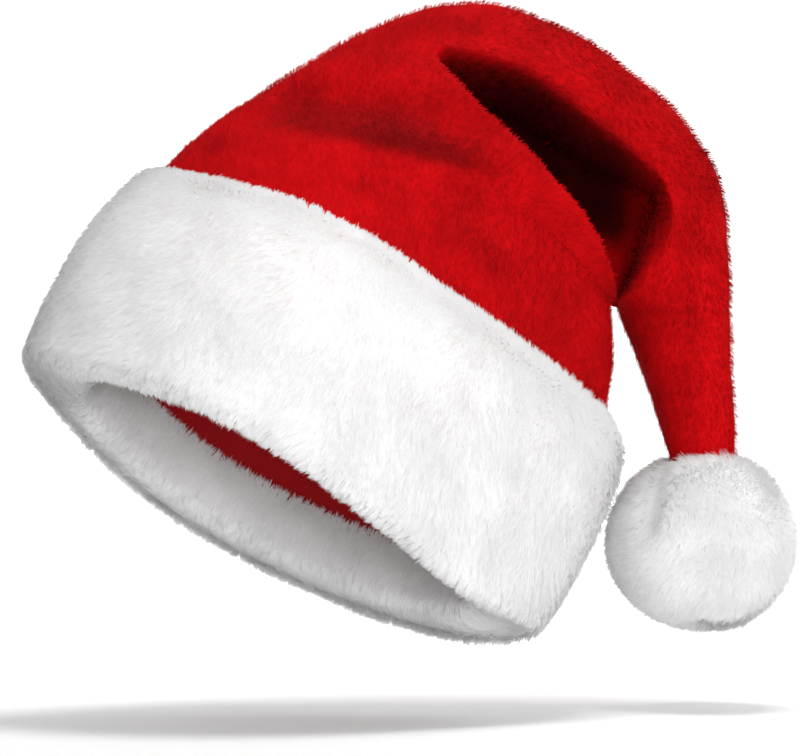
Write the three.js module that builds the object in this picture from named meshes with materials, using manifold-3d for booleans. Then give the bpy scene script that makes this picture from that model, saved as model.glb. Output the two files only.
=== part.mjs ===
// A plush Santa hat: a red crown that folds over to the right and hangs down as a tail, a red
// lining that shows in the mouth, a wide white fur cuff turned up round the rim, and a white
// fur pompom on the tail's tip. Millimetres, +Z up, -Y towards the viewer. The origin is the
// middle of the mouth, in the plane of the rim. The hat leans as it does on a tilted head, and
// its tail hangs plumb.
import * as THREE from "three";
import { ConvexGeometry } from "three/addons/geometries/ConvexGeometry.js";
import { mergeVertices } from "three/addons/utils/BufferGeometryUtils.js";
import Module from "manifold-3d";

// How the hat leans: the rim's right end is down, and its front is up.
const LEAN_SIDE = 30.5; // degrees
const LEAN_BACK = 22; // degrees

// The mouth, between the inner faces of the cuff. Its outline is pinched towards both ends,
// between an ellipse at 0 and a lens at 1, and it is deepest left of the middle. What is
// particular to an end, here and at the rim, fades with a power of the share of the way across.
const MOUTH_WIDTH = 252;
const MOUTH_DEPTH = 143;
const MOUTH_PINCH = 0.7;
const MOUTH_DEEPEST = 0.4; // share of the width, from the left
const END_ROUND = 0.45; // share of the pinch that the very ends do without
const END_POWER = 14;

// Cloth.
const CROWN_WALL = 3; // plush with its pile laid down
const LINING_WALL = 1;
const CLEARANCE = 0.3; // between cloths that lie on each other
const LINING_SETBACK = 2.2; // the lining's face lies this far behind the hem's fur

// The cuff: a fur band that shows outside, turns under the rim and ends inside in a short hem.
const CUFF_HEIGHT = 119.5;
const CUFF_WALL = 8.5;
const CUFF_SWELL = 2; // how far its padding bows out half-way up
const CUFF_EDGE = 5; // rounding of its upper edge
const RIM_RISE = 14; // how far the rim turns up at its right end
const RIM_TUCK = 3.5; // how far the rim is drawn in at its left end
const HEM_HEIGHT = 35;
const END_FILL = 20; // how far the fur fills the mouth's ends, where it lies against itself

// The crown's body, from the hem up to the crook, where the crown folds over.
const CROWN_RISE = 147;
const CROOK_RADIUS = 3;

// The fold: the crown turns about the crook, from square to the hat's axis to hanging.
const FOLD_SET_BACK = 32; // how far the arch lies behind the crook
const POCKET_DEPTH = 0.62; // share of the rear bulge that the pocket's floor is sunk by
const ROLL_EDGE = 0.35; // width of the rolled edge's inner side, as a share of the roll
const LIP_BOW = 0.2; // share of the turn that the pocket's lip has moved by at the crook
const LIP_SAG = 0.13; // and four times the share that it hangs back by half-way across

// The tail, from the crook down to the pompom.
const TAIL_DROP = 80;
const TAIL_WIDTH = 58.5;
const TAIL_DEPTH = 42;
const TAIL_SET_BACK = 12;

// The pompom.
const POMPOM_WIDTH = 91;
const POMPOM_HEIGHT = 87;
const POMPOM_SINK = 8; // how deep the tail's tip sits in it

// Fur, drawn as locks.
const CUFF_LOCK = 2.8; // from the foot of a lock to its tip
const CUFF_COMB = 3; // how far a lock's tip is combed down to the rim
const POMPOM_LOCK = 5;
const POMPOM_LOCKS = 205;
const POMPOM_COMB = 4; // how far a lock's tip is combed round

// Mesh.
const CROWN_SIDES = 36;
const CUFF_SIDES = 2 * CROWN_SIDES;
const SEAM_STEP = 27; // of the crown's body inside the cuff
const BODY_STEP = 15;
const POCKET_TURN = 0.18; // where the pocket's wall stands, as a share of the turn
const CURL_TURN = 0.35; // and where the edge beside it is rolled right over

// The crown's outer face lies this far outside the hem's inner face.
const HEM_WALL = LINING_SETBACK + LINING_WALL + CLEARANCE + CROWN_WALL;
const HALF_WIDTH = MOUTH_WIDTH / 2 + HEM_WALL;
const HALF_DEPTH = MOUTH_DEPTH / 2 + HEM_WALL;
const CROWN_FOOT = HEM_HEIGHT + CLEARANCE;

// The crown's body. up is a share of CROWN_RISE, left and right of HALF_WIDTH, front and rear
// of HALF_DEPTH.
const BODY_ROWS = [
  { up: 0.0, left: 1.0, right: 1.0, front: 1.0, rear: 1.0 },
  { up: 0.3, left: 1.0, right: 0.985, front: 0.97, rear: 1.0 },
  { up: 0.5, left: 0.975, right: 0.947, front: 0.91, rear: 0.99 },
  { up: 0.62, left: 0.96, right: 0.892, front: 0.87, rear: 0.97 },
  { up: 0.76, left: 0.92, right: 0.84, front: 0.84, rear: 0.93 },
  { up: 0.88, left: 0.87, right: 0.778, front: 0.8, rear: 0.88 },
  { up: 1.0, left: 0.815, right: 0.695, front: 0.76, rear: 0.82 },
];

// The fold. turn is a share of the whole turn, reach of the reach from the crook to its left
// edge, back of FOLD_SET_BACK, front and rear of HALF_DEPTH, and roll is the share of the reach
// that the tail's rolled edge takes. pocket is 0 on the body and 1 where the pocket is open.
const FOLD_ROWS = [
  { turn: 0.0, reach: 1.0, back: 0.0, front: 0.76, rear: 0.82, roll: 0.12, pocket: 0 },
  { turn: 0.06, reach: 0.943, back: 0.28, front: 0.74, rear: 0.79, roll: 0.12, pocket: 0 },
  { turn: 0.105, reach: 0.907, back: 0.49, front: 0.71, rear: 0.76, roll: 0.13, pocket: 0 },
  { turn: 0.145, reach: 0.88, back: 0.66, front: 0.67, rear: 0.73, roll: 0.15, pocket: 0.02 },
  { turn: 0.156, reach: 0.873, back: 0.7, front: 0.665, rear: 0.725, roll: 0.15, pocket: 0.25 },
  { turn: 0.167, reach: 0.866, back: 0.74, front: 0.655, rear: 0.72, roll: 0.15, pocket: 0.75 },
  { turn: 0.18, reach: 0.858, back: 0.78, front: 0.64, rear: 0.71, roll: 0.17, pocket: 1 },
  { turn: 0.255, reach: 0.789, back: 0.95, front: 0.53, rear: 0.68, roll: 0.26, pocket: 1 },
  { turn: 0.35, reach: 0.671, back: 1.0, front: 0.44, rear: 0.62, roll: 0.36, pocket: 1 },
  { turn: 0.445, reach: 0.56, back: 0.94, front: 0.43, rear: 0.55, roll: 0.36, pocket: 1 },
  { turn: 0.54, reach: 0.488, back: 0.82, front: 0.42, rear: 0.49, roll: 0.34, pocket: 0.74 },
  { turn: 0.625, reach: 0.436, back: 0.7, front: 0.39, rear: 0.44, roll: 0.4, pocket: 0.18 },
  { turn: 0.71, reach: 0.376, back: 0.58, front: 0.36, rear: 0.4, roll: 0.52, pocket: 0.02 },
  { turn: 0.806, reach: 0.321, back: 0.48, front: 0.34, rear: 0.36, roll: 0.7, pocket: 0 },
  { turn: 0.92, reach: 0.292, back: 0.4, front: 0.31, rear: 0.315, roll: 0.8, pocket: 0 },
  { turn: 1.0, reach: 0.286, back: 0.375, front: 0.3, rear: 0.3, roll: 0.8, pocket: 0 },
];

// The tail. drop is a share of TAIL_DROP, inner and outer of TAIL_WIDTH, measured from the
// crook, and thick of TAIL_DEPTH.
const TAIL_ROWS = [
  { drop: 0.0, inner: 0.05, outer: 0.99, thick: 1.0 },
  { drop: 0.12, inner: 0.105, outer: 1.0, thick: 0.98 },
  { drop: 0.34, inner: 0.23, outer: 1.02, thick: 0.93 },
  { drop: 0.6, inner: 0.35, outer: 1.035, thick: 0.84 },
  { drop: 0.84, inner: 0.452, outer: 1.03, thick: 0.72 },
  { drop: 0.93, inner: 0.497, outer: 1.025, thick: 0.67 },
  { drop: 1.0, inner: 0.512, outer: 1.02, thick: 0.64 },
];

// Soft dents in the crown's front and rear. Across, up and wide are shares of the reach from
// the crook to the left edge, and deep is a share of HALF_DEPTH, below 0 for a swell.
const DENTS = [
  { side: "front", fromAcross: -0.78, fromUp: 0.47, toAcross: -0.43, toUp: 0.355, wide: 0.09, deep: 0.13 },
  { side: "front", fromAcross: -0.88, fromUp: 0.35, toAcross: -0.5, toUp: 0.27, wide: 0.08, deep: -0.03 },
  { side: "front", fromAcross: -0.4, fromUp: 0.14, toAcross: -0.2, toUp: 0.0, wide: 0.09, deep: 0.05 },
  { side: "rear", fromAcross: -0.85, fromUp: 0.35, toAcross: -0.25, toUp: 0.25, wide: 0.1, deep: 0.1 },
  { side: "rear", fromAcross: -0.5, fromUp: 0.7, toAcross: 0.05, toUp: 0.35, wide: 0.09, deep: 0.08 },
];

// How the cuff's upper edge wanders: waves round the rim, how high each is, and where it starts
// as a share of a wave.
const EDGE_WAVES = [
  { waves: 1, high: 2, start: 0.75 },
  { waves: 2, high: 3, start: 0.25 },
  { waves: 5, high: 0.8, start: 0.3 },
];

const COLOURS = { red: 0xc1121c, liningRed: 0x9c0f1a, white: 0xf4f4f4 };

const lean = new THREE.Quaternion().setFromEuler(
  new THREE.Euler(
    THREE.MathUtils.degToRad(-LEAN_BACK),
    THREE.MathUtils.degToRad(LEAN_SIDE),
    0,
    "YXZ",
  ),
);
const hatRight = new THREE.Vector3(1, 0, 0).applyQuaternion(lean);
const hatBack = new THREE.Vector3(0, 1, 0).applyQuaternion(lean);
const plumbBack = new THREE.Vector3(0, 1, 0);
const wholeTurn = Math.PI - THREE.MathUtils.degToRad(LEAN_SIDE);

const wasm = await Module();
wasm.setup();

// Reads every column of a table at a value of one column, on a smooth curve through the rows.
function readTable(rows, key, value) {
  let i = 0;
  while (i < rows.length - 2 && rows[i + 1][key] < value) i += 1;
  const before = rows[Math.max(i - 1, 0)];
  const from = rows[i];
  const to = rows[i + 1];
  const after = rows[Math.min(i + 2, rows.length - 1)];
  const span = to[key] - from[key];
  const t = THREE.MathUtils.clamp((value - from[key]) / span, 0, 1);
  const read = {};
  for (const column of Object.keys(from)) {
    const slopeFrom = (to[column] - before[column]) / (to[key] - before[key]);
    const slopeTo = (after[column] - from[column]) / (after[key] - from[key]);
    const rise = t * t * (3 - 2 * t);
    const leave = t * (1 - t) * (1 - t);
    const arrive = t * t * (t - 1);
    read[column] =
      from[column] * (1 - rise) + to[column] * rise + span * (slopeFrom * leave + slopeTo * arrive);
  }
  return read;
}

// A section of the body in the hat's own frame, at a height over the rim.
function bodySizes(height) {
  const row = readTable(BODY_ROWS, "up", (height - CROWN_FOOT) / CROWN_RISE);
  return {
    left: row.left * HALF_WIDTH,
    right: row.right * HALF_WIDTH,
    front: row.front * HALF_DEPTH,
    rear: row.rear * HALF_DEPTH,
  };
}

const crookHeight = CROWN_FOOT + CROWN_RISE;
const crookSizes = bodySizes(crookHeight);
const foldReach = crookSizes.left + crookSizes.right + CROOK_RADIUS;
const crook = new THREE.Vector3(crookSizes.right + CROOK_RADIUS, 0, crookHeight).applyQuaternion(lean);

// How full a section is at a share of the way across, from 0 at its edges to 1.
function fullness(across, pinch) {
  const ellipse = 2 * Math.sqrt(Math.max(0, across * (1 - across)));
  const turned =
    across < MOUTH_DEEPEST
      ? across / (2 * MOUTH_DEEPEST)
      : 0.5 + (across - MOUTH_DEEPEST) / (2 * (1 - MOUTH_DEEPEST));
  const pinched = pinch * (1 - END_ROUND * ((1 - across) ** END_POWER + across ** END_POWER));
  return ellipse * (1 - pinched) + Math.sin(Math.PI * turned) * pinched;
}

// Each section says where its outer and inner edges are, which way is back, and how far it
// bulges to the front and the rear.
function bodySection(height) {
  const { left, right, front, rear } = bodySizes(height);
  return {
    outer: new THREE.Vector3(-left, 0, height).applyQuaternion(lean),
    inner: new THREE.Vector3(right, 0, height).applyQuaternion(lean),
    back: hatBack,
    front,
    rear,
    pinch: MOUTH_PINCH,
    roll: 1,
    curl: 0,
    pocket: 0,
  };
}

// The fold's sections bow, so that the mesh follows the pocket's lip down to the crook.
function bowedTurn(turn, across) {
  const rising = THREE.MathUtils.smoothstep(turn, 0, POCKET_TURN);
  const falling = 1 - THREE.MathUtils.smoothstep(turn, POCKET_TURN, 1);
  const bow = LIP_BOW * across ** 4 - LIP_SAG * across * (1 - across);
  return turn + bow * rising * falling;
}

function foldSection(turn, across) {
  const bowed = bowedTurn(turn, across);
  const place = readTable(FOLD_ROWS, "turn", bowed);
  const shape = readTable(FOLD_ROWS, "turn", turn);
  const angle = wholeTurn * (1 - bowed);
  const outward = new THREE.Vector3(Math.cos(angle), 0, Math.sin(angle));
  const hang = TAIL_SET_BACK * bowed * bowed;
  const back = hatBack.clone().lerp(plumbBack, bowed);
  back.addScaledVector(outward, -back.dot(outward)).normalize();
  return {
    outer: crook
      .clone()
      .addScaledVector(outward, place.reach * foldReach)
      .addScaledVector(plumbBack, place.back * FOLD_SET_BACK),
    inner: crook.clone().addScaledVector(outward, CROOK_RADIUS).addScaledVector(plumbBack, hang),
    back,
    front: shape.front * HALF_DEPTH,
    rear: shape.rear * HALF_DEPTH,
    pinch: MOUTH_PINCH * (1 - turn),
    roll: shape.roll,
    curl: THREE.MathUtils.smoothstep(turn, POCKET_TURN, CURL_TURN),
    pocket: THREE.MathUtils.clamp(shape.pocket, 0, 1),
  };
}

function tailSection(drop) {
  const row = readTable(TAIL_ROWS, "drop", drop);
  const edge = (share) =>
    crook.clone().add(new THREE.Vector3(share * TAIL_WIDTH, TAIL_SET_BACK, -drop * TAIL_DROP));
  return {
    outer: edge(row.outer),
    inner: edge(row.inner),
    back: plumbBack,
    front: (row.thick * TAIL_DEPTH) / 2,
    rear: (row.thick * TAIL_DEPTH) / 2,
    pinch: 0,
    roll: 1,
    curl: 0,
    pocket: 0,
  };
}

// How far a dent sinks the cloth at a place.
function dentDepth(side, place) {
  let sunk = 0;
  for (const dent of DENTS.filter((row) => row.side === side)) {
    const from = new THREE.Vector3(dent.fromAcross, 0, dent.fromUp).multiplyScalar(foldReach).add(crook);
    const to = new THREE.Vector3(dent.toAcross, 0, dent.toUp).multiplyScalar(foldReach).add(crook);
    const flat = new THREE.Vector3(place.x, from.y, place.z);
    const nearest = new THREE.Line3(from, to).closestPointToPoint(flat, true, new THREE.Vector3());
    const share = nearest.distanceTo(flat) / (dent.wide * foldReach);
    sunk += dent.deep * HALF_DEPTH * Math.exp(-share * share);
  }
  return sunk;
}

// How far the front stands out at a share of the way across: a plain bulge on the body, and
// where the pocket is open, the tail's rolled edge with the pocket's sunk floor beside it.
function frontBulge(section, across, round) {
  const plain = section.front * round;
  const along = across / section.roll;
  const inPocket = THREE.MathUtils.smoothstep(along, 1, 1 + ROLL_EDGE);
  const arc = Math.sqrt(1 - (1 - Math.min(along, 1)) ** 2);
  const rolled = section.front * THREE.MathUtils.lerp(round, arc, section.curl);
  const floor = -POCKET_DEPTH * section.rear * round;
  return plain * (1 - section.pocket) + (rolled * (1 - inPocket) + floor * inPocket) * section.pocket;
}

// A point of the crown's outer face: angle runs from the outer edge over the front to the
// inner edge and back over the rear.
function crownPoint(station, angle) {
  const across = (1 - Math.cos(angle)) / 2;
  const section = station.section(across);
  const round = fullness(across, section.pinch);
  const place = section.outer.clone().lerp(section.inner, across);
  if (angle < Math.PI) {
    const dent = dentDepth("front", place) * round * (1 - section.pocket);
    const bulge = frontBulge(section, across, round) - dent;
    return place.addScaledVector(section.back, -bulge);
  }
  return place.addScaledVector(section.back, section.rear * round - dentDepth("rear", place) * round);
}

// Where the crown has sections. The cuff's inner face uses the same levels inside it.
const cuffLevels = [];
const seamSteps = Math.round((CUFF_HEIGHT - CUFF_EDGE - CROWN_FOOT) / SEAM_STEP);
for (let i = 0; i <= seamSteps; i += 1) {
  cuffLevels.push(CROWN_FOOT + ((CUFF_HEIGHT - CUFF_EDGE - CROWN_FOOT) * i) / seamSteps);
}
const bodyLevels = [...cuffLevels];
const openSteps = Math.round((crookHeight - CUFF_HEIGHT + CUFF_EDGE) / BODY_STEP);
for (let i = 1; i <= openSteps; i += 1) {
  bodyLevels.push(CUFF_HEIGHT - CUFF_EDGE + ((crookHeight - CUFF_HEIGHT + CUFF_EDGE) * i) / openSteps);
}
const foldTurns = [];
for (let i = 1; i < FOLD_ROWS.length; i += 1) {
  const from = FOLD_ROWS[i - 1].turn;
  const to = FOLD_ROWS[i].turn;
  const steps = Math.max(1, Math.round((to - from) / 0.05));
  for (let j = 1; j <= steps; j += 1) foldTurns.push(from + ((to - from) * j) / steps);
}
const tailDrops = TAIL_ROWS.slice(1).map((row) => row.drop);
const stations = [
  ...bodyLevels.map((height) => ({ section: () => bodySection(height) })),
  ...foldTurns.map((turn) => ({ section: (across) => foldSection(turn, across) })),
  ...tailDrops.map((drop) => ({ section: () => tailSection(drop) })),
];

// The crown's outer face as rings of points, with the outward direction at each.
const crownRings = stations.map((station) =>
  Array.from({ length: CROWN_SIDES }, (_, k) => crownPoint(station, (2 * Math.PI * k) / CROWN_SIDES)),
);
const crownNormals = crownRings.map((ring, i) =>
  ring.map((point, k) => {
    const along = crownRings[Math.min(i + 1, crownRings.length - 1)][k]
      .clone()
      .sub(crownRings[Math.max(i - 1, 0)][k]);
    const round = ring[(k + 1) % CROWN_SIDES].clone().sub(ring[(k + CROWN_SIDES - 1) % CROWN_SIDES]);
    return round.cross(along).normalize();
  }),
);

// Rings moved inwards by a depth, for the inner faces of the crown and the lining.
function sunkRings(depth, count) {
  return crownRings
    .slice(0, count)
    .map((ring, i) => ring.map((point, k) => point.clone().addScaledVector(crownNormals[i][k], -depth)));
}

// The faces between two rings that start at the points numbered low and high. Where crossed
// says so, they are split along the other diagonal.
function bandFaces(low, high, sides, crossed) {
  return Array.from({ length: sides }, (_, k) => {
    const next = (k + 1) % sides;
    return crossed(k)
      ? [low + k, low + next, high + k, low + next, high + next, high + k]
      : [low + k, low + next, high + next, low + k, high + next, high + k];
  }).flat();
}

function geometryFrom(points, faces) {
  const geometry = new THREE.BufferGeometry().setFromPoints(points);
  geometry.setIndex(faces);
  return geometry;
}

// Joins rings of equal length into a closed sleeve, the last ring joined to the first.
function sleeve(rings, crossed) {
  const sides = rings[0].length;
  const faces = rings.map((_, i) =>
    bandFaces(i * sides, ((i + 1) % rings.length) * sides, sides, (k) => crossed(i, k)),
  );
  return geometryFrom(rings.flat(), faces.flat());
}

const straight = () => false;
const crosswise = () => true;

function middleOf(ring) {
  return ring.reduce((sum, point) => sum.add(point), new THREE.Vector3()).divideScalar(ring.length);
}

// The crown is one skin that runs up the outer face to the tip, back over the tip's inner
// side and down the inner face to the hem.
function crownGeometry() {
  const inner = sunkRings(CROWN_WALL, crownRings.length - 1).reverse();
  const sides = CROWN_SIDES;
  const outerTip = crownRings.length * sides;
  const innerTip = outerTip + 1;
  const innerStart = outerTip + 2;
  const points = [
    ...crownRings.flat(),
    middleOf(crownRings[crownRings.length - 1]),
    middleOf(inner[0]),
    ...inner.flat(),
  ];
  const faces = [];
  for (let i = 0; i < crownRings.length - 1; i += 1) {
    faces.push(...bandFaces(i * sides, (i + 1) * sides, sides, straight));
  }
  for (let i = 0; i < inner.length - 1; i += 1) {
    faces.push(...bandFaces(innerStart + i * sides, innerStart + (i + 1) * sides, sides, crosswise));
  }
  faces.push(...bandFaces(innerStart + (inner.length - 1) * sides, 0, sides, straight));
  for (let k = 0; k < sides; k += 1) {
    const next = (k + 1) % sides;
    faces.push(outerTip - sides + k, outerTip - sides + next, outerTip);
    faces.push(innerStart + next, innerStart + k, innerTip);
  }
  return geometryFrom(points, faces);
}

// The lining is a sleeve of cloth that lies inside the crown's body.
function liningGeometry() {
  const count = bodyLevels.length - 1;
  const depth = CROWN_WALL + CLEARANCE;
  const outer = sunkRings(depth, count);
  return sleeve([...outer, ...sunkRings(depth + LINING_WALL, count).reverse()], straight);
}

// The cuff's profile as steps out from the crown's outer face and up from the rim. Where locks
// is 1, the face is fur and carries locks. within goes from 0 outside to 1 on the hem's face.
function cuffProfile() {
  const outside = (share) => CUFF_WALL + CUFF_SWELL * Math.sin(Math.PI * share);
  const profile = [];
  const rows = 12;
  const turnRadius = (CUFF_WALL + HEM_WALL) / 2;
  const turnMiddle = (CUFF_WALL - HEM_WALL) / 2;
  profile.push({ out: CUFF_WALL / 2, up: CUFF_HEIGHT, locks: 1, within: 0 });
  for (let i = 0; i <= rows; i += 1) {
    const share = 1 - i / rows;
    const up = turnRadius + (CUFF_HEIGHT - CUFF_EDGE / 2 - turnRadius) * share;
    profile.push({ out: outside(share) - (i === 0 ? CUFF_EDGE / 2 : 0), up, locks: 1, within: 0 });
  }
  for (let i = 1; i < 5; i += 1) {
    const angle = (Math.PI * i) / 5;
    profile.push({
      out: turnMiddle + turnRadius * Math.cos(angle),
      up: turnRadius - turnRadius * Math.sin(angle),
      locks: 1,
      within: (1 - Math.cos(angle)) / 2,
    });
  }
  const hemTop = HEM_HEIGHT - CUFF_EDGE / 2;
  for (const share of [0, 0.33, 0.67]) {
    profile.push({ out: -HEM_WALL, up: turnRadius + (hemTop - turnRadius) * share, locks: 1, within: 1 });
  }
  profile.push({ out: -HEM_WALL, up: hemTop, locks: 0, within: 1 });
  profile.push({ out: CUFF_EDGE / 2 - HEM_WALL, up: HEM_HEIGHT, locks: 0, within: 1 });
  profile.push({ out: CLEARANCE, up: HEM_HEIGHT, locks: 0, within: 0 });
  for (const level of cuffLevels.slice(1)) profile.push({ out: CLEARANCE, up: level, locks: 0, within: 0 });
  return profile;
}

function edgeWave(angle) {
  return EDGE_WAVES.reduce(
    (sum, row) => sum + row.high * Math.sin(row.waves * angle + 2 * Math.PI * row.start),
    0,
  );
}

// A point of the crown's body in the hat's own frame, before it leans.
function bodyPoint(height, angle) {
  const { left, right, front, rear } = bodySizes(height);
  const across = (1 - Math.cos(angle)) / 2;
  const deep = Math.sin(angle) > 0 ? -front : rear;
  return new THREE.Vector3(-left + (left + right) * across, deep * fullness(across, MOUTH_PINCH), height);
}

// A point of the cuff in the hat's own frame.
function cuffPoint(step, angle, raised) {
  const height = Math.max(step.up, CROWN_FOOT);
  const aside = Math.PI / CROWN_SIDES;
  const along = bodyPoint(height, angle + aside).sub(bodyPoint(height, angle - aside));
  const outward = new THREE.Vector3(along.y, -along.x, 0).normalize();
  const lock = step.locks * CUFF_LOCK * (raised ? 0.5 : -0.5);
  const under = step.locks * THREE.MathUtils.clamp(1 - step.up / (CUFF_WALL / 2), 0, 1);
  const combed = THREE.MathUtils.smoothstep(step.up, CUFF_WALL, 3 * CUFF_WALL);
  const comb = step.locks * (raised ? CUFF_COMB : 0) * combed;
  const edge = step.locks * edgeWave(angle) * (step.up / CUFF_HEIGHT) ** 3;
  const across = (1 - Math.cos(angle)) / 2;
  const low = Math.max(0, 1 - step.up / HEM_HEIGHT);
  const rise = RIM_RISE * low * across ** END_POWER;
  const tuck = RIM_TUCK * low * (1 - across) ** END_POWER;
  const fill = END_FILL * step.within * ((1 - across) ** END_POWER - across ** END_POWER);
  return bodyPoint(height, angle)
    .setZ(step.up + edge + rise - comb - under * lock)
    .add(new THREE.Vector3(fill, 0, 0))
    .addScaledVector(outward, step.out - tuck + lock * (1 - under));
}

// The locks stand on a chequered grid, each with its foot on the four points round it.
function cuffGeometry() {
  const isRaised = (i, k) => (i + k) % 2 === 0;
  const rings = cuffProfile()
    .reverse()
    .map((step, i) =>
      Array.from({ length: CUFF_SIDES }, (_, k) =>
        cuffPoint(step, (2 * Math.PI * k) / CUFF_SIDES, isRaised(i, k)),
      ),
    );
  return sleeve(rings, isRaised);
}

// Points spread evenly over a ball of radius 1.
function ballPoints(count) {
  const golden = Math.PI * (3 - Math.sqrt(5));
  return Array.from({ length: count }, (_, i) => {
    const up = 1 - (2 * i + 1) / count;
    const round = Math.sqrt(1 - up * up);
    return new THREE.Vector3(round * Math.cos(golden * i), round * Math.sin(golden * i), up);
  });
}

// A ball of fur locks: a pyramid on each of the evenly spread points, combed round the ball.
function pompomGeometry() {
  const hull = new ConvexGeometry(ballPoints(POMPOM_LOCKS)).getAttribute("position");
  const size = new THREE.Vector3(POMPOM_WIDTH, POMPOM_WIDTH, POMPOM_HEIGHT).divideScalar(2);
  const upright = new THREE.Vector3(0, 0, 1);
  const tip = (point) =>
    point.clone().multiply(size).addScaledVector(upright.clone().cross(point), POMPOM_COMB);
  const foot = (point) => point.normalize().multiply(size.clone().subScalar(POMPOM_LOCK));
  const corners = [];
  for (let i = 0; i < hull.count; i += 3) {
    const [a, b, c] = [0, 1, 2].map((j) => new THREE.Vector3().fromBufferAttribute(hull, i + j));
    const middle = foot(a.clone().add(b).add(c));
    for (const [from, to] of [
      [a, b],
      [b, c],
      [c, a],
    ]) {
      corners.push(tip(from), tip(to), middle);
    }
  }
  return mergeVertices(new THREE.BufferGeometry().setFromPoints(corners), 1e-3);
}

function solidOf(geometry) {
  const bare = geometry.clone();
  bare.deleteAttribute("normal");
  bare.deleteAttribute("uv");
  const merged = mergeVertices(bare, 1e-3);
  return new wasm.Manifold(
    new wasm.Mesh({
      numProp: 3,
      vertProperties: merged.getAttribute("position").array,
      triVerts: new Uint32Array(merged.index.array),
    }),
  );
}

function geometryOf(solid) {
  const mesh = solid.getMesh();
  const geometry = new THREE.BufferGeometry();
  geometry.setAttribute("position", new THREE.BufferAttribute(mesh.vertProperties, 3));
  geometry.setIndex(new THREE.BufferAttribute(mesh.triVerts, 1));
  return geometry;
}

// The pompom has a seat in its top that the tail's tip goes into.
const tip = tailSection(1);
const tipMiddle = tip.outer.clone().lerp(tip.inner, 0.5);
const pompomPlace = tipMiddle.clone().add(new THREE.Vector3(0, 0, POMPOM_SINK - POMPOM_HEIGHT / 2));

function seatedPompomGeometry() {
  const wide = tip.outer.distanceTo(tip.inner) / 2 + 3 * CLEARANCE;
  const deep = tip.front + 3 * CLEARANCE;
  const tall = 3 * POMPOM_SINK;
  const seat = new THREE.CylinderGeometry(1, 1, tall, CROWN_SIDES).rotateX(Math.PI / 2);
  seat.scale(wide, deep, 1);
  seat.translate(0, 0, tall / 2 + tipMiddle.z - CLEARANCE - pompomPlace.z);
  return geometryOf(solidOf(pompomGeometry()).subtract(solidOf(seat)));
}

function cloth(name, geometry, color, roughness) {
  geometry.computeVertexNormals();
  const mesh = new THREE.Mesh(geometry, new THREE.MeshStandardMaterial({ color, roughness, metalness: 0 }));
  mesh.name = name;
  return mesh;
}

const crown = cloth("crown", crownGeometry(), COLOURS.red, 0.95);
const lining = cloth("lining", liningGeometry(), COLOURS.liningRed, 0.8);
const cuff = cloth("cuff", cuffGeometry(), COLOURS.white, 0.9);
const pompom = cloth("pompom", seatedPompomGeometry(), COLOURS.white, 0.9);
pompom.position.copy(pompomPlace);

// The cuff leans with the head. The crown and the lining have the lean in their points,
// because the crown leaves the head's frame where it folds.
const rim = new THREE.Group();
rim.quaternion.copy(lean);
rim.add(cuff);

const hat = new THREE.Group();
hat.add(crown, lining, rim, pompom);

export default hat;
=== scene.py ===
import math

import bpy
import numpy as np
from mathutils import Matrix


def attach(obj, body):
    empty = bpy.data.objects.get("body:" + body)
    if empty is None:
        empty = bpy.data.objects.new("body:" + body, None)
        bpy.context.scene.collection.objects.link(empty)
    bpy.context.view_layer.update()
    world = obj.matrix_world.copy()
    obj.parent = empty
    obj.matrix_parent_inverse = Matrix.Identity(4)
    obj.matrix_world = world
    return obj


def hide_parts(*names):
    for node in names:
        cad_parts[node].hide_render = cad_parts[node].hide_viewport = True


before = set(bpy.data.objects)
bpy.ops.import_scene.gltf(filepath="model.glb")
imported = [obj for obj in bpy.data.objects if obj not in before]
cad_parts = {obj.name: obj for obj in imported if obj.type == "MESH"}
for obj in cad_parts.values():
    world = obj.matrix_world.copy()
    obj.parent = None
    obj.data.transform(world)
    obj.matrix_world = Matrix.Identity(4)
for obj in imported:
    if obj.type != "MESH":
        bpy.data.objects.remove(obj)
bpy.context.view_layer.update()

# Looks of a plush Santa hat: brushed red plush, a ribbed red lining, and long-pile white fur on
# the cuff and the pompom. Lengths are in millimetres until a mesh is made.
MM = 0.001

# The sizes of the solids that these pieces stand for.
LEAN_SIDE = math.radians(30.5)
LEAN_BACK = math.radians(22)
MOUTH_WIDTH, MOUTH_DEPTH = 252, 143
MOUTH_PINCH, MOUTH_DEEPEST = 0.7, 0.4
END_ROUND, END_POWER = 0.45, 14
CROWN_WALL, LINING_WALL, CLEARANCE, LINING_SETBACK = 3, 1, 0.3, 2.2
CUFF_HEIGHT, CUFF_WALL, CUFF_SWELL, CUFF_EDGE = 119.5, 8.5, 2, 5
RIM_RISE, RIM_TUCK = 14, 3.5
HEM_HEIGHT, END_FILL = 35, 20
CROWN_RISE, CROOK_RADIUS = 147, 3
FOLD_SET_BACK, POCKET_DEPTH, ROLL_EDGE = 32, 0.62, 0.35
LIP_BOW, LIP_SAG = 0.2, 0.13
TAIL_DROP, TAIL_WIDTH, TAIL_DEPTH, TAIL_SET_BACK = 80, 58.5, 42, 12
POMPOM_WIDTH, POMPOM_HEIGHT, POMPOM_SINK = 91, 87, 8
POCKET_TURN, CURL_TURN = 0.18, 0.35

HEM_WALL = LINING_SETBACK + LINING_WALL + CLEARANCE + CROWN_WALL
HALF_WIDTH = MOUTH_WIDTH / 2 + HEM_WALL
HALF_DEPTH = MOUTH_DEPTH / 2 + HEM_WALL
CROWN_FOOT = HEM_HEIGHT + CLEARANCE
WHOLE_TURN = math.pi - LEAN_SIDE

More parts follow.
